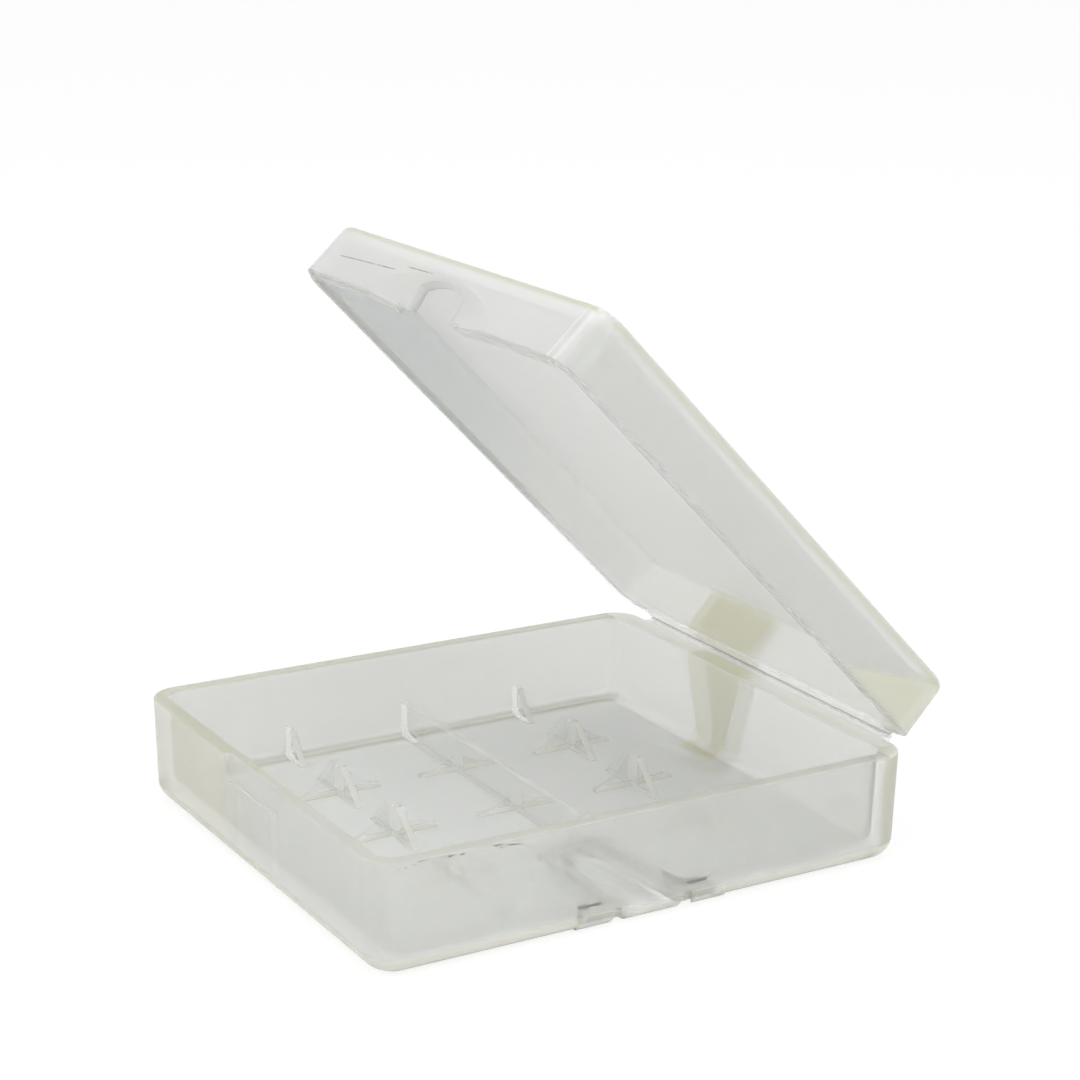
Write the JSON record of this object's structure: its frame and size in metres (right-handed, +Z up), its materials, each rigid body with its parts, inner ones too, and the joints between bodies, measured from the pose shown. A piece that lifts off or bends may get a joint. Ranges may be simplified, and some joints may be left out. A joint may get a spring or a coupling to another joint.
{
  "type": "battery storage box",
  "caption": "Translucent pocket box with a hinged lid that keeps slim round cells side by side in ribbed rows, with a fold-out hanger under its floor",
  "frame": {"origin": "middle of the base's outline on the plane that it stands on", "axes": "+X along the cells, out of the end wall over the hanger; +Y across the cells, out of the hinge wall; +Z up"},
  "size_m": [0.075, 0.0905, 0.0831],
  "materials": {
    "tray": "translucent milky polypropylene, satin",
    "lid": "translucent milky polypropylene, satin",
    "hanger": "translucent milky polypropylene, satin"
  },
  "bodies": {
    "base": {"base": "tray"},
    "lid": {"lid": "lid"},
    "hanger": {"hanger": "hanger"}
  },
  "joints": [
    {"name": "lid_hinge", "type": "hinge", "parent": "base", "child": "lid", "pos_m": [0, 0.0433, 0.016], "axis": [-1, 0, 0], "range_deg": [-45.86, 134.14]},
    {"name": "hanger_hinge", "type": "hinge", "parent": "base", "child": "hanger", "pos_m": [0.035, 0, 0.0014], "axis": [0, -1, 0], "range_deg": [0, 180]}
  ]
}
